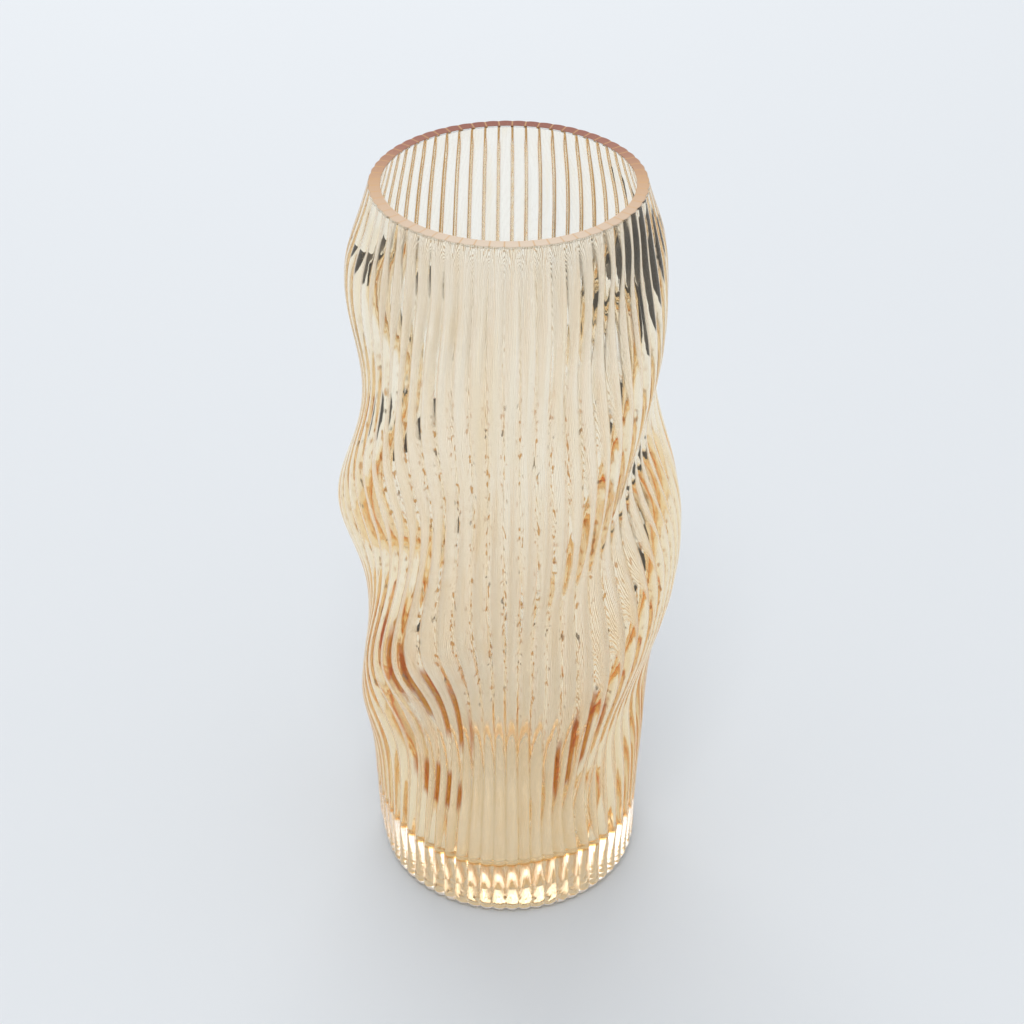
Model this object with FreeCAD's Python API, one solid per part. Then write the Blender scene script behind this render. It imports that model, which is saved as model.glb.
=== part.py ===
import FreeCAD, Part
import math
import os
from collections import namedtuple

# Hand blown optic-ribbed glass vase, millimetres and degrees, +Z up.
# The origin is the centre of the foot, on the surface that the vase stands on.
# Angles go round from the front (-Y) towards +X.

# Driving dimensions
HEIGHT = 300.0
RIB_COUNT = 60
FIRST_VALLEY = -1.7          # angle of one valley between two ribs
RIB_SAGITTA = 0.25           # how far a rib stands out, as a share of its width
LIP_SAGITTA = 0.10           # the same, where the ribs soften into the lip
HEEL_SAGITTA = 0.22          # and where they run out under the heel
LIP_SOFTENING = 10.0         # height over which the ribs soften
PROFILE_RADII = (52.0, 50.5, 64.0, 53.0, 66.0, 48.5)   # Bezier radii at equal steps of height

LIP_WALL = 4.3               # from the crest of a rib to the inside
HEEL_WALL = 6.0
LIP_LINING = 0.4             # thickness of the amber layer at the lip
HEEL_LINING = 0.85           # and round the floor, up to the gather line
RIM_DEPTH = 0.8              # ground ring at the lip

CAVITY_FLOOR = 19.0
CORNER = 5.0                 # radius between the floor and the wall, inside
GATHER_LINE = 33.0           # where the solid base ends and the wall begins

HEEL_INSET = 4.0
HEEL_RISE = 6.0
PUNT_RADIUS = 30.0
PUNT_DEPTH = 1.8

FOOT_BLEND = 12.0            # the folds fade out towards the foot and the lip
LIP_BLEND = 28.0
ROW_STEP = 7.0
LEVEL_TOLERANCE = 1e-3       # how far an edge may stray from the level it lies at

# A fold is a soft bulge pushed into the hot wall (a hollow where reach is below zero).
# spread is its half width round the vase, rise its half height, and lean is how many
# degrees it drifts round for each millimetre it climbs.
Fold = namedtuple("Fold", "name angle height reach spread rise lean")
FOLDS = (
    Fold("left shoulder", -70, 260, 7.0, 36, 35, 0.1),
    Fold("right shoulder", 105, 280, 2.5, 24, 28, 0.1),
    Fold("left belly", -100, 165, 8.5, 30, 28, 0.3),
    Fold("left belly tail", -64, 200, 5.0, 20, 26, 0.4),
    Fold("upper left trough", -60, 245, -9.0, 36, 58, 0.6),
    Fold("left waist", -80, 135, -2.5, 18, 30, 0.3),
    Fold("upper front trough", -30, 190, -6.0, 27, 50, 0.7),
    Fold("front ridge", -43, 126, 10.0, 20, 36, 0.6),
    Fold("upper right trough", 30, 245, -4.5, 24, 46, 0.6),
    Fold("left hip", -85, 75, 3.5, 32, 30, 1.2),
    Fold("front hollow", -12, 78, -13.0, 44, 40, 0.1),
    Fold("middle trough", 10, 136, -6.0, 24, 40, 0.7),
    Fold("right trough", 73, 195, -10.5, 26, 34, 0.5),
    Fold("right belly", 110, 148, 10.5, 38, 50, 0.1),
    Fold("right front ridge", 52, 135, 5.0, 17, 62, 0.4),
    Fold("front foot hollow", 27, 42, -5.5, 22, 24, 0.5),
    Fold("right waist", 66, 85, -4.5, 25, 24, 0.5),
    Fold("left heel", -102, 30, 3.5, 16, 50, -0.1),
    Fold("back ridge", -160, 205, 5.0, 28, 36, 0.6),
    Fold("back trough", 172, 128, -5.5, 26, 40, 0.6),
    Fold("back hip", -150, 70, 4.0, 26, 32, 0.5),
    Fold("back shoulder trough", 155, 240, -4.0, 26, 32, 0.5),
)

# A sway carries the ribs round by so many degrees, where the wall was pushed aside.
Sway = namedtuple("Sway", "name angle height turn spread rise")
SWAYS = (
    Sway("left front sway", -42, 238, -3.5, 26, 42),
    Sway("back sway", 165, 150, 3.0, 26, 45),
)


def smoothStep(x):
    x = min(max(x, 0.0), 1.0)
    return x * x * (3.0 - 2.0 * x)


def profileRadius(height):
    """Radius of the plain round vase: a Bezier curve over the height."""
    t = height / HEIGHT
    degree = len(PROFILE_RADII) - 1
    return sum(
        math.comb(degree, i) * t ** i * (1 - t) ** (degree - i) * radius
        for i, radius in enumerate(PROFILE_RADII)
    )


def foldFade(height):
    """Folds and sways fade out towards the foot and the lip."""
    return smoothStep(height / FOOT_BLEND) * smoothStep((HEIGHT - height) / LIP_BLEND)


def angleBetween(angle, other):
    return (angle - other + 180.0) % 360.0 - 180.0


def foldedRadius(angle, height):
    """Radius over the crests of the ribs: the plain profile and every fold."""
    push = 0.0
    for fold in FOLDS:
        up = height - fold.height
        around = angleBetween(angle, fold.angle + fold.lean * up)
        push += fold.reach * math.exp(-(around / fold.spread) ** 2 - (up / fold.rise) ** 2)
    return profileRadius(height) + push * foldFade(height)


def swayedAngle(angle, height):
    """Where a rib that leaves the foot at an angle has got to at a height."""
    turn = 0.0
    for sway in SWAYS:
        around = angleBetween(angle, sway.angle)
        up = height - sway.height
        turn += sway.turn * math.exp(-(around / sway.spread) ** 2 - (up / sway.rise) ** 2)
    return angle + turn * foldFade(height)


def insideRadius(angle, height):
    """Radius of the cavity: the folded radius less the wall."""
    wall = LIP_WALL + (HEEL_WALL - LIP_WALL) * (1.0 - height / HEIGHT) ** 2
    return foldedRadius(angle, height) - wall


def liningThickness(height):
    """The amber layer thins smoothly from the gather line to the lip."""
    thinned = smoothStep((height - GATHER_LINE) / (HEIGHT - GATHER_LINE))
    return HEEL_LINING + (LIP_LINING - HEEL_LINING) * thinned


def point(radius, angle, height):
    turn = math.radians(angle)
    return FreeCAD.Vector(radius * math.sin(turn), -radius * math.cos(turn), height)


# A row is one level of a surface: how far along the surface it lies, its height, how far
# it is drawn in from the plain radius, and how strongly the ribs stand out there.
Row = namedtuple("Row", "along height inset sagitta")


def wallSagitta(height):
    softened = smoothStep((height - HEIGHT + LIP_SOFTENING) / LIP_SOFTENING)
    return RIB_SAGITTA + (LIP_SAGITTA - RIB_SAGITTA) * softened


def straightRows(low, high, along=0.0):
    count = max(3, round((high - low) / ROW_STEP))
    step = (high - low) / count
    rises = [i * step for i in range(count + 1)]
    return [Row(along + rise, low + rise, 0.0, wallSagitta(low + rise)) for rise in rises]


def cornerRows(low, inset, rise, firstSagitta, steps=6):
    """A quarter round that starts flat at height low and ends upright."""
    arc = 0.5 * math.pi * 0.5 * (inset + rise)
    rows = []
    for i in range(steps + 1):
        turn = 0.5 * math.pi * i / steps
        share = 1.0 - math.cos(turn)
        rows.append(Row(
            along=arc * i / steps,
            height=low + rise * share,
            inset=inset * (1.0 - math.sin(turn)),
            sagitta=firstSagitta + (RIB_SAGITTA - firstSagitta) * share,
        ))
    return rows


def roundedRows(low, inset, rise, high, firstSagitta=RIB_SAGITTA):
    rows = cornerRows(low, inset, rise, firstSagitta)
    return rows + straightRows(low + rise, high, rows[-1].along)[1:]


def column(points, rows):
    """Poles, multiplicities and knots of one curve up the vase through its points."""
    curve = Part.BSplineCurve()
    curve.interpolate(Points=points, Parameters=[row.along for row in rows])
    return curve.getPoles(), curve.getMultiplicities(), curve.getKnots()


def ribAngle(index):
    return FIRST_VALLEY + index * 360.0 / RIB_COUNT


def archAngle(row):
    """Half the angle that a rib's round face turns through, from its sagitta."""
    return 2.0 * math.atan(2.0 * row.sagitta)


def valleyPoint(index, row):
    """A point in the valley before a rib, sunk by the height of the rib's arch."""
    angle = swayedAngle(ribAngle(index), row.height)
    crest = foldedRadius(angle, row.height)
    sunk = crest * row.sagitta * 2.0 * math.sin(math.pi / RIB_COUNT)
    return point(crest - sunk - row.inset, angle, row.height)


def apexPoint(index, row):
    """The control point over the middle of a rib, where its two tangents meet."""
    left = valleyPoint(index, row)
    right = valleyPoint(index + 1, row)
    middle = (left + right) * 0.5
    outward = FreeCAD.Vector(middle.x, middle.y, 0.0).normalize()
    return middle + outward * (0.5 * (right - left).Length * math.tan(archAngle(row)))


def nearestRow(rows, height):
    return min(rows, key=lambda row: abs(row.height - height))


def ribFaces(rows):
    """The ribbed outside: one rational face for each rib, an arch across and a spline up."""
    ribs = range(RIB_COUNT)
    valleys = [column([valleyPoint(i, row) for row in rows], rows) for i in ribs]
    apexes = [column([apexPoint(i, row) for row in rows], rows) for i in ribs]
    heights = [pole.z for pole in valleys[0][0]]
    weights = [math.cos(archAngle(nearestRow(rows, height))) for height in heights]
    plain = [1.0] * len(heights)
    faces = []
    for i in ribs:
        left, upMults, upKnots = valleys[i]
        right = valleys[(i + 1) % RIB_COUNT][0]
        surface = Part.BSplineSurface()
        surface.buildFromPolesMultsKnots(
            [left, apexes[i][0], right], [3, 3], upMults, [0.0, 1.0], upKnots,
            False, False, 2, 3, [plain, weights, plain])
        faces.append(surface.toShape())
    return faces


def smoothFace(rows, share):
    """The round inside, moved out by a share of the lining: one closed cubic face."""
    def radiusAt(angle, row):
        return insideRadius(angle, row.height) + share * liningThickness(row.height) - row.inset
    columns = []
    for i in range(RIB_COUNT):
        angle = ribAngle(i)
        points = [point(radiusAt(angle, row), angle, row.height) for row in rows]
        columns.append(column(points, rows))
    upMults, upKnots = columns[0][1], columns[0][2]
    raw = [poles for poles, _, _ in columns]
    poles = []
    for i in range(RIB_COUNT):
        before, after = raw[i - 1], raw[(i + 1) % RIB_COUNT]
        # a pole stands off its point by a sixth of the bend there
        poles.append([p - (a - p * 2.0 + b) / 6.0 for b, p, a in zip(before, raw[i], after)])
    surface = Part.BSplineSurface()
    surface.buildFromPolesMultsKnots(
        poles, [1] * (RIB_COUNT + 1), upMults, [float(i) for i in range(RIB_COUNT + 1)], upKnots,
        True, False, 3, 3)
    return surface.toShape()


def levelWire(faces, height):
    """The closed wire that the faces' edges make at one height."""
    edges = []
    for face in faces:
        for edge in face.Edges:
            box = edge.BoundBox
            if max(abs(box.ZMin - height), abs(box.ZMax - height)) < LEVEL_TOLERANCE:
                edges.append(edge)
    return Part.Wire(Part.__sortEdges__(edges))


def flatFace(outer, *holes):
    return Part.makeFace([outer, *holes], "Part::FaceMakerBullseye")


def closedSolid(faces):
    shell = Part.makeShell(faces)
    shell.sewShape()
    solid = Part.Solid(shell)
    if solid.Volume < 0:
        solid.reverse()
    return solid


def cupRows(share):
    """Rows of the cavity below the gather line, with the corner rolled round its floor."""
    corner = CORNER + share * HEEL_LINING
    return roundedRows(CAVITY_FLOOR - share * HEEL_LINING, corner, corner, GATHER_LINE)


def makeRibbedWall():
    rows = straightRows(GATHER_LINE, HEIGHT - RIM_DEPTH)
    outside = ribFaces(rows)
    inside = smoothFace(rows, 1.0)
    ends = [
        flatFace(levelWire(outside, z), levelWire([inside], z))
        for z in (GATHER_LINE, HEIGHT - RIM_DEPTH)
    ]
    return closedSolid(outside + [inside] + ends)


def makeShamBase():
    rows = roundedRows(0.0, HEEL_INSET, HEEL_RISE, GATHER_LINE, HEEL_SAGITTA)
    outside = ribFaces(rows)
    cup = smoothFace(cupRows(1.0), 1.0)
    under = flatFace(levelWire(outside, 0.0))
    floor = flatFace(levelWire([cup], CAVITY_FLOOR - HEEL_LINING))
    top = flatFace(levelWire(outside, GATHER_LINE), levelWire([cup], GATHER_LINE))
    block = closedSolid(outside + [cup, under, floor, top])
    ball = (PUNT_RADIUS ** 2 + PUNT_DEPTH ** 2) / (2.0 * PUNT_DEPTH)
    punt = Part.makeSphere(ball, FreeCAD.Vector(0, 0, PUNT_DEPTH - ball))
    return block.cut(punt)


def makeAmberLining():
    wallRows = straightRows(GATHER_LINE, HEIGHT - RIM_DEPTH)
    lip = HEIGHT - RIM_DEPTH
    faces = []
    walls = []
    for share in (1.0, 0.0):
        cup = smoothFace(cupRows(share), share)
        wall = smoothFace(wallRows, share)
        faces += [cup, wall, flatFace(levelWire([cup], CAVITY_FLOOR - share * HEEL_LINING))]
        walls.append(wall)
    faces.append(flatFace(levelWire([walls[0]], lip), levelWire([walls[1]], lip)))
    return closedSolid(faces)


def makeGroundRim():
    rows = straightRows(HEIGHT - RIM_DEPTH, HEIGHT)
    outside = ribFaces(rows)
    inside = smoothFace(rows, 0.0)
    ends = [
        flatFace(levelWire(outside, z), levelWire([inside], z))
        for z in (HEIGHT - RIM_DEPTH, HEIGHT)
    ]
    return closedSolid(outside + [inside] + ends)


PARTS = {
    "sham_base": makeShamBase,
    "ribbed_wall": makeRibbedWall,
    "amber_lining": makeAmberLining,
    "ground_rim": makeGroundRim,
}

os.makedirs("parts", exist_ok=True)
for name, make in PARTS.items():
    shape = make()
    shape.exportStep(f"parts/{name}.step")
    box = shape.BoundBox
    print(name, "valid", shape.isValid(), "solids", len(shape.Solids), "faces", len(shape.Faces),
          "volume", round(shape.Volume), "z", round(box.ZMin, 3), round(box.ZMax, 3))
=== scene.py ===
import math

import bpy
import numpy as np
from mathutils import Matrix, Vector


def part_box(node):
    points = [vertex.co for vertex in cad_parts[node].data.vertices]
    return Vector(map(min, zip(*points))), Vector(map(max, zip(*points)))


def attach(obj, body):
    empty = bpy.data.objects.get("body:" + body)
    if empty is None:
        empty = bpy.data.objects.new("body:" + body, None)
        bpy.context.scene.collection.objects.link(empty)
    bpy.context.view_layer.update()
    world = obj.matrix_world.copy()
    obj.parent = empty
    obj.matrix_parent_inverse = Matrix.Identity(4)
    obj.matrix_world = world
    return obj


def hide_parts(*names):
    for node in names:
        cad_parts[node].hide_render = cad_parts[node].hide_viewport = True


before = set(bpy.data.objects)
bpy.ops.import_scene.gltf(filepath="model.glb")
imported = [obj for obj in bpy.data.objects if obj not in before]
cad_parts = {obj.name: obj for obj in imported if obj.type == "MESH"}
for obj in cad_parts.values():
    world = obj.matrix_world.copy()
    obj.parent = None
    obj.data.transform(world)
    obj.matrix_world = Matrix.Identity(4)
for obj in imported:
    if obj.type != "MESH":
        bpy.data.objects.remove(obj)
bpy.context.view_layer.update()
mm = 0.001
print("frame loaded:", ", ".join(sorted(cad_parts)))


# an output socket, so that shader maths reads as a formula
class Wire:
    def __init__(self, socket):
        self.socket = socket

    def maths(self, operation, first, second):
        tree = self.socket.id_data
        node = tree.nodes.new("ShaderNodeMath")
        node.operation = operation
        for slot, value in zip(node.inputs, (first, second)):
            if isinstance(value, Wire):
                tree.links.new(value.socket, slot)
            else:
                slot.default_value = value
        return Wire(node.outputs[0])

    def __add__(self, other):
        return self.maths("ADD", self, other)

    def __sub__(self, other):
        return self.maths("SUBTRACT", self, other)

    def __rsub__(self, other):
        return self.maths("SUBTRACT", other, self)

    def __mul__(self, other):
        return self.maths("MULTIPLY", self, other)


# the nodes of one material or of the world
class Finish:
    def __init__(self, owner):
        owner.use_nodes = True
        self.owner = owner
        self.tree = owner.node_tree
        self.tree.nodes.clear()

    def node(self, kind, settings=None, inputs=None, output=0):
        node = self.tree.nodes.new("ShaderNode" + kind)
        for key, value in (settings or {}).items():
            if key == "stops":
                elements = node.color_ramp.elements
                while len(elements) < len(value):
                    elements.new(1.0)
                for element, (place, colour) in zip(elements, value):
                    element.position = place
                    element.color = colour
            else:
                setattr(node, key, value)
        for key, value in (inputs or {}).items():
            if isinstance(value, Wire):
                self.tree.links.new(value.socket, node.inputs[key])
            else:
                node.inputs[key].default_value = value
        return Wire(node.outputs[output]) if node.outputs else node

    # object coordinates, stretched for a grain that runs one way
    def place(self, stretch=(1, 1, 1)):
        coordinates = self.node("TexCoord", output="Object")
        return self.node("Mapping", inputs={"Vector": coordinates, "Scale": stretch})

    def noise(self, stretch, detail=2.0, roughness=0.5):
        return self.node("TexNoise", inputs={
            "Vector": self.place(stretch), "Scale": 1.0, "Detail": detail, "Roughness": roughness})

    def mix(self, share, first, second):
        return self.node("Mix", settings={"data_type": "RGBA"},
                         inputs={0: share, 6: first, 7: second}, output=2)

    def bump(self, height, distance):
        return self.node("Bump", inputs={"Height": height, "Strength": 1.0, "Distance": distance})

    # 0 at first, 1 at last and a smooth step between
    def rise(self, value, first, last):
        return self.node("MapRange", settings={"interpolation_type": "SMOOTHSTEP"},
                         inputs={"Value": value, "From Min": first, "From Max": last})

    # one object coordinate in millimetres
    def along(self, axis):
        coordinates = self.node("TexCoord", output="Object")
        return self.node("SeparateXYZ", inputs={"Vector": coordinates}, output=axis) * (1.0 / mm)

    # noise over rib and height
    def ribNoise(self, across, up, detail):
        place = self.node("CombineXYZ", inputs={"X": across, "Y": up})
        return self.node("TexNoise", inputs={"Vector": place, "Scale": 1.0, "Detail": detail})

    # number of the rib, from the UV map
    def rib(self):
        places = self.node("UVMap", settings={"uv_map": "ribs"})
        return self.node("SeparateXYZ", inputs={"Vector": places}, output="X")


def newMaterial(name):
    return Finish(bpy.data.materials.new(name))


# The vase's form, in millimetres and in degrees from the front (-Y) towards +X. A sagitta is
# how far a rib stands out, as a share of its width.
vaseShape = {
    "ribs": 60,
    "firstValley": -1.7,
    "ribSagitta": 0.25,
    "lipSagitta": 0.10,
    "heelSagitta": 0.22,
    "lipSoftening": 10.0,
    "profileRadii": (52.0, 50.5, 64.0, 53.0, 66.0, 48.5),
    "lipWall": 4.3,
    "heelWall": 6.0,
    "lipLining": 0.4,
    "heelLining": 0.85,
    "corner": 5.0,
    "heelInset": 4.0,
    "heelRise": 6.0,
    "puntRadius": 30.0,
    "puntDepth": 1.8,
    "footBlend": 12.0,
    "lipBlend": 28.0,
    "samplesPerRib": 12,       # points across one rib outside
    "insideSamples": 180,      # points round the smooth inside
    "wallRows": 100,
    "cavityRows": 66,
    "cornerRows": 6,
}

# soft pushes in the wall; those down to the left heel are rounded results of a least-squares fit
folds = [
    dict(angle=-70, height=260, reach=7.0, spread=36, rise=35, lean=0.1),     # left shoulder
    dict(angle=105, height=280, reach=2.5, spread=24, rise=28, lean=0.1),     # right shoulder
    dict(angle=-100, height=165, reach=8.5, spread=30, rise=28, lean=0.3),    # left belly
    dict(angle=-64, height=200, reach=5.0, spread=20, rise=26, lean=0.4),     # left belly tail
    dict(angle=-60, height=245, reach=-9.0, spread=36, rise=58, lean=0.6),    # upper left trough
    dict(angle=-80, height=135, reach=-2.5, spread=18, rise=30, lean=0.3),    # left waist
    dict(angle=-30, height=190, reach=-6.0, spread=27, rise=50, lean=0.7),    # upper front trough
    dict(angle=-43, height=126, reach=10.0, spread=20, rise=36, lean=0.6),    # front ridge
    dict(angle=30, height=245, reach=-4.5, spread=24, rise=46, lean=0.6),     # upper right trough
    dict(angle=-85, height=75, reach=3.5, spread=32, rise=30, lean=1.2),      # left hip
    dict(angle=-12, height=78, reach=-13.0, spread=44, rise=40, lean=0.1),    # front hollow
    dict(angle=10, height=136, reach=-6.0, spread=24, rise=40, lean=0.7),     # middle trough
    dict(angle=73, height=195, reach=-10.5, spread=26, rise=34, lean=0.5),    # right trough
    dict(angle=110, height=148, reach=10.5, spread=38, rise=50, lean=0.1),    # right belly
    dict(angle=52, height=135, reach=5.0, spread=17, rise=62, lean=0.4),      # right front ridge
    dict(angle=27, height=42, reach=-5.5, spread=22, rise=24, lean=0.5),      # front foot hollow
    dict(angle=66, height=85, reach=-4.5, spread=25, rise=24, lean=0.5),      # right waist
    dict(angle=-102, height=30, reach=3.5, spread=16, rise=50, lean=-0.1),    # left heel
    dict(angle=-160, height=205, reach=5.0, spread=28, rise=36, lean=0.6),    # back ridge
    dict(angle=172, height=128, reach=-5.5, spread=26, rise=40, lean=0.6),    # back trough
    dict(angle=-150, height=70, reach=4.0, spread=26, rise=32, lean=0.5),     # back hip
    dict(angle=155, height=240, reach=-4.0, spread=26, rise=32, lean=0.5),    # back shoulder trough
]

# where the wall was pushed aside and carried its ribs round
sways = [
    dict(angle=-42, height=238, turn=-3.5, spread=26, rise=42),    # left front
    dict(angle=165, height=150, turn=3.0, spread=26, rise=45),     # back
]

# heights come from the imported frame
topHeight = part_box("ground_rim")[1].z / mm
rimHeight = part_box("ground_rim")[0].z / mm
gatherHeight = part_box("ribbed_wall")[0].z / mm
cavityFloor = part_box("amber_lining")[0].z / mm + vaseShape["heelLining"]
halfPitch = 180.0 / vaseShape["ribs"]


# 3x^2 - 2x^3 between 0 and 1
def smoothStep(x):
    x = np.clip(x, 0.0, 1.0)
    return x * x * (3.0 - 2.0 * x)


# Bezier curve over the height through the control radii
def profileRadius(height):
    radii = vaseShape["profileRadii"]
    degree = len(radii) - 1
    t = height / topHeight
    return sum(
        math.comb(degree, i) * t ** i * (1 - t) ** (degree - i) * radius
        for i, radius in enumerate(radii)
    )


# one at mid height, falling to zero at the foot and the lip
def foldFade(height):
    foot = smoothStep(height / vaseShape["footBlend"])
    return foot * smoothStep((topHeight - height) / vaseShape["lipBlend"])


# exp(-(angle from the middle / spread)^2 - (height from the middle / rise)^2)
def bell(angle, height, middle, shape):
    around = (angle - middle + 180.0) % 360.0 - 180.0
    up = height - shape["height"]
    return np.exp(-(around / shape["spread"]) ** 2 - (up / shape["rise"]) ** 2)


# plain profile plus the bell of every fold, whose middle drifts round as it climbs
def foldedRadius(angle, height):
    push = 0.0
    for fold in folds:
        middle = fold["angle"] + fold["lean"] * (height - fold["height"])
        push = push + fold["reach"] * bell(angle, height, middle, fold)
    return profileRadius(height) + push * foldFade(height)


# angle of a rib at a height: its angle at the foot plus the bell of every sway
def swayedAngle(angle, height):
    turn = sum(sway["turn"] * bell(angle, height, sway["angle"], sway) for sway in sways)
    return angle + turn * foldFade(height)


# the folded radius less a wall that thickens towards the foot
def insideRadius(angle, height):
    lip, heel = vaseShape["lipWall"], vaseShape["heelWall"]
    return foldedRadius(angle, height) - lip - (heel - lip) * (1.0 - height / topHeight) ** 2


# thickness of the colour: thick at the foot, thinning smoothly from the gather line to the lip
def liningThickness(height):
    lip, heel = vaseShape["lipLining"], vaseShape["heelLining"]
    return heel + (lip - heel) * smoothStep((height - gatherHeight) / (topHeight - gatherHeight))


# full above the heel, softened over the last millimetres to the lip
def wallSagitta(height):
    full, lip, depth = (vaseShape[key] for key in ("ribSagitta", "lipSagitta", "lipSoftening"))
    return full + (lip - full) * smoothStep((height - topHeight + depth) / depth)


# x = r sin(angle), y = -r cos(angle)
def ringPoints(radius, angle, height):
    turn = np.radians(angle)
    level = np.broadcast_to(height, np.shape(radius * turn))
    return np.stack([radius * np.sin(turn), -radius * np.cos(turn), level], axis=-1)


def evenAngles(count):
    return vaseShape["firstValley"] + np.arange(count) * 360.0 / count


# Each rib is a round arch: the straight line between its two valleys, pushed out along the
# rib's middle by the height of a circular arc with the wanted sagitta.
def ribbedRings(height, inset, sagitta):
    samples = vaseShape["samplesPerRib"]
    height, inset, sagitta = (np.asarray(v, float)[:, None] for v in (height, inset, sagitta))
    foot = vaseShape["firstValley"] + np.arange(vaseShape["ribs"] + 1) * 2.0 * halfPitch
    angle = swayedAngle(foot, height)
    sunk = 1.0 - sagitta * 2.0 * math.sin(math.radians(halfPitch))
    corners = ringPoints(foldedRadius(angle, height) * sunk - inset, angle, height)
    left, right = corners[:, :-1, None], corners[:, 1:, None]
    outward = (left + right) * np.array([1.0, 1.0, 0.0])
    outward = outward / np.linalg.norm(outward, axis=-1, keepdims=True)
    arch = 2.0 * np.arctan(2.0 * sagitta)[:, :, None]
    turn = arch * (2.0 * np.arange(samples) / samples - 1.0)
    share = (0.5 + 0.5 * np.sin(turn) / np.sin(arch))[..., None]
    half = 0.5 * np.linalg.norm(right - left, axis=-1)
    rise = half * (np.cos(turn) - np.cos(arch)) / np.sin(arch)
    points = left * (1.0 - share) + right * share + rise[..., None] * outward
    return points.reshape(len(height), -1, 3)


# the smooth inside, moved out by a share of the lining, with its foot corner drawn in
def smoothRings(height, inset, count, share=0.0):
    angles = evenAngles(count)
    height, inset = (np.asarray(v, float)[:, None] for v in (height, inset))
    radius = insideRadius(angles, height) + share * liningThickness(height) - inset
    return ringPoints(radius, angles, height)


# quarter round from flat to upright: heights and insets of its rows
def quarterRound(low, reach, rise, steps):
    turn = np.linspace(0.0, 0.5 * math.pi, steps + 1)
    return low + rise * (1.0 - np.cos(turn)), reach * (1.0 - np.sin(turn))


# heights above a start, evenly spread up to an end
def climb(start, end, count):
    return np.linspace(start, end, count + 1)[1:]


# quads between neighbouring rings; the vertices are numbered ring by ring from first
def bandFaces(rows, count, first=0):
    grid = first + np.arange(rows * count).reshape(rows, count)
    here, above = grid[:-1], grid[1:]
    corners = [here, np.roll(here, -1, axis=1), np.roll(above, -1, axis=1), above]
    return np.stack(corners, axis=-1).reshape(-1, 4).tolist()


# triangles from one ring to the vertex in its middle
def capFaces(ring, tip, turned=False):
    following = np.roll(ring, -1)
    corners = [np.full(len(ring), tip), ring, following]
    if turned:
        corners = [np.full(len(ring), tip), following, ring]
    return np.stack(corners, axis=-1).tolist()


def makePiece(name, points, faces):
    mesh = bpy.data.meshes.new(name)
    mesh.from_pydata((points * mm).tolist(), [], faces)
    mesh.polygons.foreach_set("use_smooth", np.ones(len(faces), bool))
    mesh.update(calc_edges=True)
    piece = bpy.data.objects.new(name, mesh)
    bpy.context.scene.collection.objects.link(piece)
    return piece


# marks the edges that pass the test as sharp, from the numbers of their two vertices
def markSharp(piece, isCrease):
    mesh = piece.data
    ends = np.empty(len(mesh.edges) * 2, np.int32)
    mesh.edges.foreach_get("vertices", ends)
    low, high = np.sort(ends.reshape(-1, 2), axis=1).T
    attribute = mesh.attributes.new("sharp_edge", "BOOLEAN", "EDGE")
    attribute.data.foreach_set("value", isCrease(low, high))


# Writes a UV map on the first faces, which are bands of quads: across goes the number of the
# rib. Every other face gets the middle of a rib.
def mapRibs(piece, rows):
    samples = vaseShape["samplesPerRib"]
    columns = vaseShape["ribs"] * samples
    layer = piece.data.uv_layers.new(name="ribs")
    across = (np.arange(columns)[:, None] + np.array([0, 1, 1, 0])) / samples
    bands = np.broadcast_to(across, (rows - 1, columns, 4)).ravel()
    places = np.full((len(layer.data), 2), 0.5)
    places[:len(bands), 0] = bands
    layer.data.foreach_set("uv", places.ravel())


# Clear glass: the ribbed casing and the thick foot in one skin. Widths are shares of a rib.
clearGlass = {
    "colour": (1.0, 0.998, 0.99, 1.0),
    "cordColour": (0.94, 0.89, 0.80, 1.0),         # cords drawn out along the wall
    "paintedLipLineColour": (0.30, 0.11, 0.018, 1.0),     # painted refraction: gold lines in the valleys of the back
    "paintedLowLineColour": (0.08, 0.03, 0.004, 1.0),
    "lineWidth": 0.13,
    "lineHeights": (190.0, 225.0),                 # the lines come in between these heights
    "lineShadeHeights": (215.0, 290.0),            # and change from the low colour to the lip's
    "paintedPoolColour": (0.42, 0.10, 0.002, 1.0),        # painted refraction: amber pools in front valleys
    "poolWidth": 0.32,
    "paintedSpeckColour": (0.48, 0.20, 0.04, 1.0),        # painted refraction: small amber and dark specks beside the valleys
    "paintedDarkSpeckColour": (0.10, 0.08, 0.06, 1.0),
    "speckWidth": (0.35, 0.10),
    "speckHeights": (60.0, 110.0),                 # specks come in here
    "speckEnd": (265.0, 225.0),                    # and go out here
    "sideBlend": 15.0,                             # front passes into back over this depth
    "ior": 1.5,
    "castColour": (0.9, 0.75, 0.45, 1.0),
    "castDensity": 1.0,
    "ripple": 0.0001,
}

# Painted refraction drawn as amber pools: middle rib and height, how far it spreads over ribs and
# over height, and how many millimetres it climbs from one rib to the next.
paintedAmberPools = [
    dict(rib=54.5, height=108, ribs=3.0, rise=26, climb=-10),    # left
    dict(rib=54.0, height=57, ribs=2.6, rise=11, climb=-2),      # low left
    dict(rib=5.4, height=82, ribs=2.2, rise=22, climb=9),        # right
]


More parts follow.
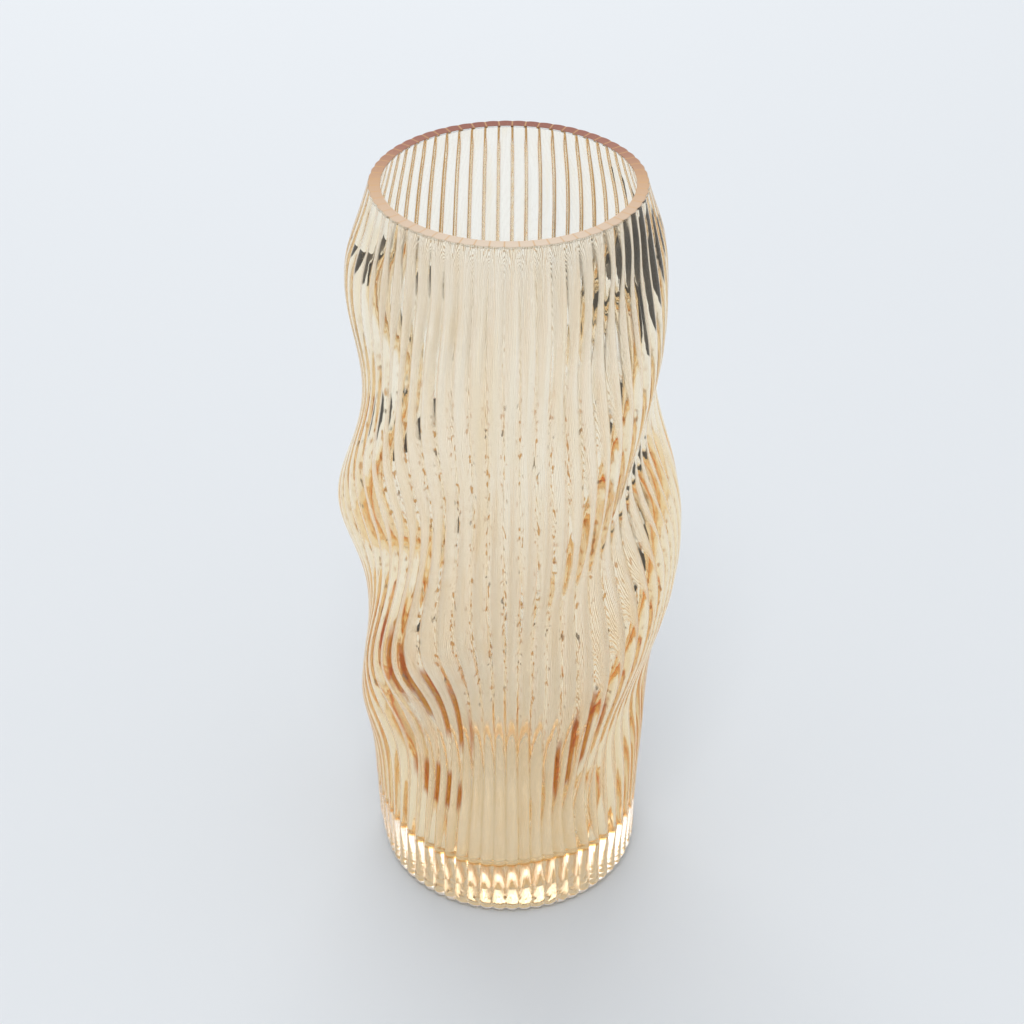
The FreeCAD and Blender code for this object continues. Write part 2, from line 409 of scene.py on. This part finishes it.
def makeClearGlassFinish():
    finish = newMaterial("clearGlass")
    look = clearGlass
    rib = finish.rib()
    height = finish.along("Z")
    behind = finish.rise(finish.along("Y"), -look["sideBlend"], look["sideBlend"])

    # cords and ripple follow the ribs, and are weaker behind
    strand = finish.ribNoise(rib * 4.0, height * 0.02, detail=3.0)
    colour = finish.mix((strand - 0.42) * 2.6 * (1.0 - behind * 0.7), look["colour"],
                        look["cordColour"])
    ripple = finish.ribNoise(rib * 2.2, height * 0.06, detail=2.0) * (1.0 - behind * 0.85)

    # distance to the nearest valley, as a share of a rib
    offside = rib.maths("PINGPONG", rib, 0.5)

    # painted refraction: gold lines in the valleys of the back half, dark low down and golden near
    # the lip
    line = finish.rise(offside, look["lineWidth"], look["lineWidth"] * 0.5)
    gold = finish.mix(finish.rise(height, *look["lineShadeHeights"]), look["paintedLowLineColour"],
                      look["paintedLipLineColour"])
    share = line * behind * finish.rise(height, *look["lineHeights"])
    colour = finish.mix(share, colour, gold)

    # each painted pool is a bell over rib and height, broken up by a noise and cut off softly
    strand = finish.ribNoise(rib * 1.3, height * 0.05, detail=3.0)
    line = finish.rise(offside, look["poolWidth"], look["poolWidth"] * 0.5)
    for pool in paintedAmberPools:
        across = (rib - pool["rib"]) * (1.0 / pool["ribs"])
        middle = (rib - pool["rib"]) * pool["climb"] + pool["height"]
        up = (height - middle) * (1.0 / pool["rise"])
        inside = finish.rise(across * across + up * up + strand * 1.2, 1.7, 1.1)
        colour = finish.mix(inside * line, colour, look["paintedPoolColour"])

    # painted refraction specks: the peaks of a noise drawn out upward, beside the valleys of the
    # front
    paintedSpeckNoise = finish.ribNoise(rib * 5.0, height * 0.28, detail=1.0)
    tone = finish.ribNoise(rib, height * 0.09, detail=0.0)
    paintedSpeckMix = finish.mix(finish.rise(tone, 0.57, 0.65), look["paintedSpeckColour"],
                            look["paintedDarkSpeckColour"])
    zone = finish.rise(height, *look["speckHeights"]) * finish.rise(height, *look["speckEnd"])
    share = finish.rise(paintedSpeckNoise, 0.57, 0.66) * finish.rise(offside, *look["speckWidth"])
    colour = finish.mix(share * zone * (1.0 - behind), colour, paintedSpeckMix)
    surface = finish.node("BsdfPrincipled", inputs={
        "Base Color": colour,
        "Roughness": 0.0,
        "IOR": look["ior"],
        "Transmission Weight": 1.0,
        "Normal": finish.bump(ripple, look["ripple"]),
    })
    cast = finish.node("VolumeAbsorption", inputs={
        "Color": look["castColour"], "Density": look["castDensity"]})
    finish.node("OutputMaterial", inputs={"Surface": surface, "Volume": cast})
    return finish.owner


# rings of the outside, from the middle of the punt over the heel and up to the lip
def outsideRings():
    shape = vaseShape
    columns = shape["ribs"] * shape["samplesPerRib"]
    puntShare = np.linspace(0.06, 1.0, 6)[:, None]
    puntRadius = puntShare * shape["puntRadius"] + np.zeros(columns)
    punt = ringPoints(puntRadius, evenAngles(columns), shape["puntDepth"] * (1.0 - puntShare ** 2))
    heelHeight, heelInset = quarterRound(0.0, shape["heelInset"], shape["heelRise"], 8)
    growth = shape["ribSagitta"] - shape["heelSagitta"]
    heelSagitta = shape["heelSagitta"] + growth * heelHeight / shape["heelRise"]
    wallHeight = climb(shape["heelRise"], rimHeight + 0.05, shape["wallRows"])
    wall = ribbedRings(
        np.concatenate([heelHeight, wallHeight]),
        np.concatenate([heelInset, np.zeros(len(wallHeight))]),
        np.concatenate([heelSagitta, wallSagitta(wallHeight)]))
    return np.concatenate([punt, wall]), len(punt)


# Rings of a cup that follows the cavity, at a share of the lining's thickness outside it:
# a flat floor, a quarter round and the wall up to a height.
def cupRings(share, high, count, floorDrop=0.0):
    shape = vaseShape
    offset = share * shape["heelLining"]
    corner = shape["corner"] + offset
    low = cavityFloor - offset
    cornerHeight, cornerInset = quarterRound(low, corner, corner, shape["cornerRows"])
    height = np.concatenate([cornerHeight, climb(cornerHeight[-1], high, shape["cavityRows"])])
    inset = np.concatenate([cornerInset, np.zeros(shape["cavityRows"])])
    side = smoothRings(height, inset, count, share)
    floor = side[:1] * np.array([0.2, 0.5, 0.8])[:, None, None]
    floor[..., 2] = low - floorDrop
    return np.concatenate([floor, side])


def makeClearGlass():
    samples = vaseShape["samplesPerRib"]
    outside, puntRings = outsideRings()
    inside = cupRings(0.0, rimHeight + 0.05, vaseShape["insideSamples"])[::-1]
    rows, columns = outside.shape[:2]
    innerRows, innerColumns = inside.shape[:2]
    lastRing = (rows - 1) * columns
    innerStart = rows * columns
    innerEnd = innerStart + (innerRows - 1) * innerColumns
    puntTip = innerStart + innerRows * innerColumns
    tips = np.array([[0.0, 0.0, vaseShape["puntDepth"]], [0.0, 0.0, cavityFloor]])
    points = np.concatenate([outside.reshape(-1, 3), inside.reshape(-1, 3), tips])

    # the flat lip: each step of the inside spans several steps of the outside
    span = columns // innerColumns
    step = np.arange(innerColumns)[:, None]
    outer = lastRing + (step * span + np.arange(span + 1)) % columns
    lip = np.hstack([outer, innerStart + (step + 1) % innerColumns, innerStart + step])

    faces = bandFaces(rows, columns) + bandFaces(innerRows, innerColumns, innerStart)
    faces += lip.tolist()
    faces += capFaces(np.arange(columns), puntTip, turned=True)
    faces += capFaces(innerEnd + np.arange(innerColumns), puntTip + 1)
    piece = makePiece("clear_glass_body", points, faces)
    mapRibs(piece, rows)

    # sharp along the valleys, round the lip and where the punt meets the foot
    def isCrease(low, high):
        outsideEdge = high < innerStart
        row = low // columns
        inValley = (low % samples == 0) & (high - low == columns) & (row >= puntRings)
        level = row == high // columns
        onFoot = level & (row == puntRings - 1)
        onLip = (level & (row == rows - 1)) | (low < innerStart) & (high >= innerStart)
        innerLip = (low >= innerStart) & (high < innerStart + innerColumns)
        return (outsideEdge & (inValley | onFoot | onLip)) | innerLip

    markSharp(piece, isCrease)
    piece.data.materials.append(clearGlassMaterial)
    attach(piece, "root")
    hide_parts("ribbed_wall", "sham_base")
    return piece


# Amber lining: the coloured gather just under the inside face. Its shell doesn't bend light,
# it only holds the colour between the clear glass on both sides.
amberLining = {
    "skin": 0.12,              # share of the thickness that is clear over the colour
    "floorDrop": 0.35,         # extra millimetres of clear glass over the cavity floor
    "absorbed": (0.96, 0.66, 0.02, 1.0),
    "density": 256.0,
    "streakColour": (0.95, 0.86, 0.70, 1.0),
}


def makeAmberFinish():
    finish = newMaterial("amberLining")
    streaks = finish.noise((170, 170, 7), detail=4.0, roughness=0.6)
    colour = finish.mix((streaks - 0.5) * 2.2, (1.0, 1.0, 1.0, 1.0), amberLining["streakColour"])
    surface = finish.node("BsdfPrincipled", inputs={
        "Base Color": colour,
        "Roughness": 0.0,
        "IOR": 1.0,
        "Transmission Weight": 1.0,
    })
    stain = finish.node("VolumeAbsorption", inputs={
        "Color": amberLining["absorbed"], "Density": amberLining["density"]})
    finish.node("OutputMaterial", inputs={"Surface": surface, "Volume": stain})
    return finish.owner


def makeAmberLining():
    count = vaseShape["insideSamples"]
    lip = rimHeight - 0.02
    outer = cupRings(1.0, lip, count)
    inner = cupRings(amberLining["skin"], lip, count, amberLining["floorDrop"])[::-1]
    rings = np.concatenate([outer, inner])
    rows = len(rings)
    firstTip = rows * count
    tips = np.array([
        [0.0, 0.0, outer[0, 0, 2]],
        [0.0, 0.0, inner[-1, 0, 2]],
    ])
    faces = bandFaces(rows, count)
    faces += capFaces(np.arange(count), firstTip, turned=True)
    faces += capFaces((rows - 1) * count + np.arange(count), firstTip + 1)
    piece = makePiece("amber_lining_layer", np.concatenate([rings.reshape(-1, 3), tips]), faces)
    piece.data.materials.append(makeAmberFinish())
    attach(piece, "root")
    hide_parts("amber_lining")
    return piece


# Ground rim: the ring cut and ground flat at the lip. Its flat top is satin, with a painted shade
# from pale at the front to dark rose-brown at the back and painted gold lines over the valleys; its
# sides are as clear as the wall.
groundRim = {
    "paintedShades": [                # painted shade, from the front to the back
        (0.0, (0.74, 0.61, 0.48, 1.0)),
        (0.5, (0.62, 0.39, 0.225, 1.0)),
        (0.78, (0.38, 0.17, 0.12, 1.0)),
        (1.0, (0.29, 0.105, 0.075, 1.0)),
    ],
    "speck": (0.80, 0.62, 0.50, 1.0),
    "paintedLineColour": (0.66, 0.40, 0.18, 1.0),
    "lineWidth": 0.09,
    "edge": 0.15,
    "grain": 0.00001,
}


def makeRimFinish():
    finish = newMaterial("groundRim")
    look = groundRim
    near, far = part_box("ground_rim")[0].y / mm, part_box("ground_rim")[1].y / mm
    # painted shade that darkens from the front of the rim to its back
    depth = (finish.along("Y") - near) * (1.0 / (far - near))
    shade = finish.node("ValToRGB", settings={"stops": look["paintedShades"]}, inputs={"Fac": depth})
    grain = finish.noise((1400, 1400, 1400), detail=3.0)
    colour = finish.mix((grain - 0.5) * 0.6, shade, look["speck"])
    # painted refraction: gold lines over the valleys
    rib = finish.rib()
    line = finish.rise(rib.maths("PINGPONG", rib, 0.5), look["lineWidth"], 0.0)
    colour = finish.mix(line * 0.8, colour, look["paintedLineColour"])
    surface = finish.node("BsdfPrincipled", inputs={
        "Base Color": colour,
        "Roughness": grain * 0.3 + 0.45,
        "IOR": 1.5,
        "Specular IOR Level": 0.15,
        "Normal": finish.bump(grain, look["grain"]),
    })
    finish.node("OutputMaterial", inputs={"Surface": surface})
    return finish.owner


def makeGroundRim():
    edge = groundRim["edge"]
    low, high = rimHeight, topHeight
    outsideHeight = np.array([low, high - edge, high])
    columns = vaseShape["ribs"] * vaseShape["samplesPerRib"]
    outside = ribbedRings(outsideHeight, [0.0, 0.0, edge], wallSagitta(outsideHeight))
    inside = smoothRings([high, high - edge, low], [-edge, 0.0, 0.0], columns)
    rings = np.concatenate([outside, inside, outside[:1]])
    rows = len(rings)
    faces = np.array(bandFaces(rows, columns)) % ((rows - 1) * columns)
    piece = makePiece("ground_rim_ring", rings[:-1].reshape(-1, 3), faces.tolist())
    samples = vaseShape["samplesPerRib"]

    # sharp along the valleys outside and along every level edge but the two upright ones
    def isCrease(low, high):
        inValley = (low % samples == 0) & (high - low == columns) & (high // columns <= 2)
        level = low // columns == high // columns
        return inValley | level

    markSharp(piece, isCrease)
    mapRibs(piece, rows)

    # bands 1 to 3 are the ground top with its two edges
    piece.data.materials.append(makeRimFinish())
    piece.data.materials.append(clearGlassMaterial)
    band = np.arange(len(faces)) // columns
    isClear = (band < 1) | (band > 3)
    piece.data.polygons.foreach_set("material_index", isClear.astype(np.int32))
    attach(piece, "root")
    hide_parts("ground_rim")
    return piece


clearGlassMaterial = makeClearGlassFinish()
makeClearGlass()
print("clear glass made")
makeAmberLining()
print("amber lining made")
makeGroundRim()
print("ground rim made")


# Studio: a pale floor under an even dome of light, brighter overhead.
studio = {
    "floorSize": 12.0,
    "floorGap": 0.3,           # millimetres of air that keep the foot and the floor apart
    "floorColour": (0.78, 0.81, 0.84, 1.0),
    "floorPaleColour": (0.9, 0.9, 0.9, 1.0),
    "skyStops": [
        (0.0, (0.55, 0.56, 0.58, 1.0)),
        (0.5, (0.55, 0.56, 0.58, 1.0)),
        (0.75, (0.85, 0.87, 0.90, 1.0)),
        (1.0, (0.88, 0.88, 0.88, 1.0)),
    ],
    "skyStrength": 0.83,
}


# one flat face through the given corners
def makeStageSheet(name, corners, material):
    mesh = bpy.data.meshes.new(name)
    mesh.from_pydata(corners, [], [list(range(len(corners)))])
    mesh.materials.append(material)
    sheet = bpy.data.objects.new(name, mesh)
    bpy.context.scene.collection.objects.link(sheet)
    return sheet


def rectangle(x, y, level):
    return [(x[0], y[0], level), (x[1], y[0], level), (x[1], y[1], level), (x[0], y[1], level)]


# after this a sheet is seen only through glass
def hideFromRoom(sheet):
    sheet.visible_camera = False
    sheet.visible_diffuse = False
    sheet.visible_glossy = False
    sheet.visible_shadow = False


def makeFloor():
    finish = newMaterial("studioFloor")
    grain = finish.noise((3, 3, 3))
    colour = finish.mix(grain * 0.04, studio["floorColour"], studio["floorPaleColour"])
    surface = finish.node("BsdfPrincipled", inputs={
        "Base Color": colour, "Roughness": 0.9, "IOR": 1.2})
    finish.node("OutputMaterial", inputs={"Surface": surface})
    half = studio["floorSize"] / 2
    corners = rectangle((-half, half), (-half, half), -studio["floorGap"] * mm)
    makeStageSheet("studio_floor", corners, finish.owner)


# Sheets on the floor that are seen only through the glass. Three dark ones are painted shade that
# puts the dark streaks in the folds, and a pale one stands for the light that glass gathers on a
# floor.
floorSheets = {
    "left_dark_sheet": dict(x=(-1.15, -0.56), y=(0.10, 0.63), level=0.001, shade="dark"),
    "near_dark_sheet": dict(x=(-0.55, -0.37), y=(-0.30, -0.04), level=0.001, shade="dark"),
    "right_dark_sheet": dict(x=(0.45, 1.3), y=(-0.20, 0.70), level=0.001, shade="dark"),
    "pale_sheet": dict(x=(-6.0, 6.0), y=(-6.0, 6.0), level=-0.00025, shade="pale"),
}
sheetShades = {
    "dark": (0.012, 0.012, 0.012, 1.0),
    "pale": (0.85, 0.885, 0.915, 1.0),
}


def makeFloorSheets():
    for name, sheet in floorSheets.items():
        finish = newMaterial(name)
        surface = finish.node("BsdfPrincipled", inputs={
            "Base Color": sheetShades[sheet["shade"]], "Roughness": 1.0})
        finish.node("OutputMaterial", inputs={"Surface": surface})
        corners = rectangle(sheet["x"], sheet["y"], sheet["level"])
        hideFromRoom(makeStageSheet(name, corners, finish.owner))


# Light that gathers in the clear foot: a glowing disc under it, seen only through the glass.
footGlow = {
    "corners": 64,
    "radius": 0.050,
    "colour": (1.0, 0.90, 0.74, 1.0),
    "strength": 0.62,
    "level": -0.0001,
}


def makeFootGlow():
    finish = newMaterial("footGlow")
    light = finish.node("Emission", inputs={
        "Color": footGlow["colour"], "Strength": footGlow["strength"]})
    finish.node("OutputMaterial", inputs={"Surface": light})
    turn = np.linspace(0.0, 2.0 * math.pi, footGlow["corners"], endpoint=False)
    radius = footGlow["radius"]
    level = np.full(footGlow["corners"], footGlow["level"])
    points = np.stack([radius * np.cos(turn), radius * np.sin(turn), level], axis=-1)
    glow = makeStageSheet("foot_glow", points.tolist(), finish.owner)
    hideFromRoom(glow)


def makeSky():
    world = bpy.data.worlds.new("studio")
    bpy.context.scene.world = world
    finish = Finish(world)
    direction = finish.node("TexCoord", output="Generated")
    height = finish.node("SeparateXYZ", inputs={"Vector": direction}, output="Z")
    colour = finish.node("ValToRGB", settings={"stops": studio["skyStops"]},
                         inputs={"Fac": height * 0.5 + 0.5})
    light = finish.node("Background", inputs={
        "Color": colour, "Strength": studio["skyStrength"]})
    finish.node("OutputWorld", inputs={"Surface": light})


lightAim = (0.0, 0.0, 0.1)
softLights = [
    dict(name="back_softbox", place=(-0.3, 1.9, 1.7), size=(2.2, 1.4), power=19.0),
    dict(name="front_softbox", place=(-0.1, -0.85, 1.7), size=(0.5, 0.5), power=6.0),
]


def makeLights():
    for lamp in softLights:
        data = bpy.data.lights.new(lamp["name"], "AREA")
        data.shape = "RECTANGLE"
        data.size, data.size_y = lamp["size"]
        data.energy = lamp["power"]
        light = bpy.data.objects.new(lamp["name"], data)
        light.location = lamp["place"]
        aim = Vector(lightAim) - Vector(lamp["place"])
        light.rotation_euler = aim.to_track_quat("-Z", "Y").to_euler()
        bpy.context.scene.collection.objects.link(light)


# the camera looks down on the vase from in front, in metres and degrees
cameraView = {
    "place": (0.0, -0.7026, 0.6491),
    "pitch": 34.79,
    "turn": 0.096,
    "lens": 79.22,
}


def makeCamera():
    data = bpy.data.cameras.new("camera")
    data.lens = cameraView["lens"]
    data.sensor_width = 36.0
    camera = bpy.data.objects.new("camera", data)
    camera.location = cameraView["place"]
    camera.rotation_euler = (
        math.radians(90.0 - cameraView["pitch"]), 0.0, -math.radians(cameraView["turn"]))
    bpy.context.scene.collection.objects.link(camera)
    bpy.context.scene.camera = camera


makeFloor()
makeFloorSheets()
makeFootGlow()
makeSky()
makeLights()
makeCamera()
scene = bpy.context.scene
scene.view_settings.view_transform = "Standard"
scene.cycles.max_bounces = 64
scene.cycles.transmission_bounces = 64
scene.cycles.glossy_bounces = 32
scene.cycles.diffuse_bounces = 6
scene.cycles.transparent_max_bounces = 64
print("studio made")
